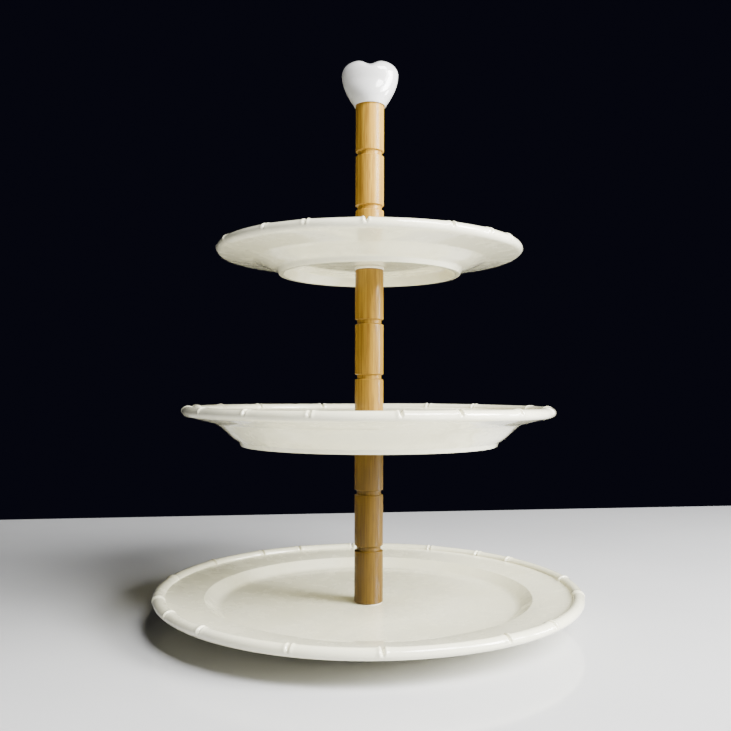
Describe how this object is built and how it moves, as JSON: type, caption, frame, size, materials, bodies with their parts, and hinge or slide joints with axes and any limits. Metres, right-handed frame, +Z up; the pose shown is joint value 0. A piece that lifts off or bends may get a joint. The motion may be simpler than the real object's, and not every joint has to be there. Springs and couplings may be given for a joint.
{
  "type": "tiered cake stand",
  "caption": "Tiered cake stand: round glazed plates with bamboo-style rims, clamped on a stem of screwed bamboo posts under a heart-shaped finial.",
  "frame": {"origin": "on the table, on the stem's axis, under the middle of the lower plate's foot ring", "axes": "+Z up along the stem; the heart finial's face looks along -Y, and +X is to its viewer's right"},
  "size_m": [0.292, 0.292, 0.3904],
  "materials": {
    "ivory_glaze": "gloss",
    "white_glaze": "gloss",
    "bamboo": "satin",
    "brass": "machined",
    "steel": "zinc plated",
    "silicone": "matt",
    "dark_rubber": "matt"
  },
  "bodies": {
    "base": {"lower_plate": "ivory_glaze", "base_screw": "steel", "base_washer": "steel", "base_gasket": "dark_rubber"},
    "lower_seat": {"lower_plate_upper_washer": "silicone"},
    "lower_stem": {"lower_post": "bamboo", "lower_post_insert": "brass", "lower_post_stud": "steel", "middle_plate_lower_washer": "silicone"},
    "middle_tier": {"middle_plate": "ivory_glaze"},
    "middle_seat": {"middle_plate_upper_washer": "silicone"},
    "middle_stem": {"middle_post": "bamboo", "middle_post_insert": "brass", "middle_post_stud": "steel", "upper_plate_lower_washer": "silicone"},
    "upper_tier": {"upper_plate": "ivory_glaze"},
    "upper_seat": {"upper_plate_upper_washer": "silicone"},
    "upper_stem": {"upper_post": "bamboo", "upper_post_insert": "brass", "upper_post_stud": "steel"},
    "finial_seat": {"finial_washer": "dark_rubber"},
    "finial": {"heart_finial": "white_glaze", "finial_insert": "brass"}
  },
  "joints": [
    {"name": "lower_post_turn", "type": "hinge", "parent": "base", "child": "lower_seat", "pos_m": [0, 0, 0.0102], "axis": [0, 0, 1], "range_deg": [0, 2971]},
    {"name": "lower_post_lift", "type": "slide", "parent": "lower_seat", "child": "lower_stem", "axis": [0, 0, 1], "range_m": [0, 0.00825]},
    {"name": "middle_plate_turn", "type": "hinge", "parent": "lower_stem", "child": "middle_tier", "pos_m": [0, 0, 0.1253], "axis": [0, 0, 1], "continuous": true},
    {"name": "middle_post_turn", "type": "hinge", "parent": "lower_stem", "child": "middle_seat", "pos_m": [0, 0, 0.1293], "axis": [0, 0, 1], "range_deg": [0, 2971]},
    {"name": "middle_post_lift", "type": "slide", "parent": "middle_seat", "child": "middle_stem", "axis": [0, 0, 1], "range_m": [0, 0.00825]},
    {"name": "upper_plate_turn", "type": "hinge", "parent": "middle_stem", "child": "upper_tier", "pos_m": [0, 0, 0.2444], "axis": [0, 0, 1], "continuous": true},
    {"name": "upper_post_turn", "type": "hinge", "parent": "middle_stem", "child": "upper_seat", "pos_m": [0, 0, 0.2484], "axis": [0, 0, 1], "range_deg": [0, 2971]},
    {"name": "upper_post_lift", "type": "slide", "parent": "upper_seat", "child": "upper_stem", "axis": [0, 0, 1], "range_m": [0, 0.00825]},
    {"name": "finial_turn", "type": "hinge", "parent": "upper_stem", "child": "finial_seat", "pos_m": [0, 0, 0.362], "axis": [0, 0, 1], "range_deg": [0, 2971]},
    {"name": "finial_lift", "type": "slide", "parent": "finial_seat", "child": "finial", "axis": [0, 0, 1], "range_m": [0, 0.00825]}
  ],
  "couplings": [
    {"joint": "lower_post_turn", "follows": "lower_post_lift", "rad_per_m": 6283.2},
    {"joint": "middle_post_turn", "follows": "middle_post_lift", "rad_per_m": 6283.2},
    {"joint": "upper_post_turn", "follows": "upper_post_lift", "rad_per_m": 6283.2},
    {"joint": "finial_turn", "follows": "finial_lift", "rad_per_m": 6283.2}
  ]
}
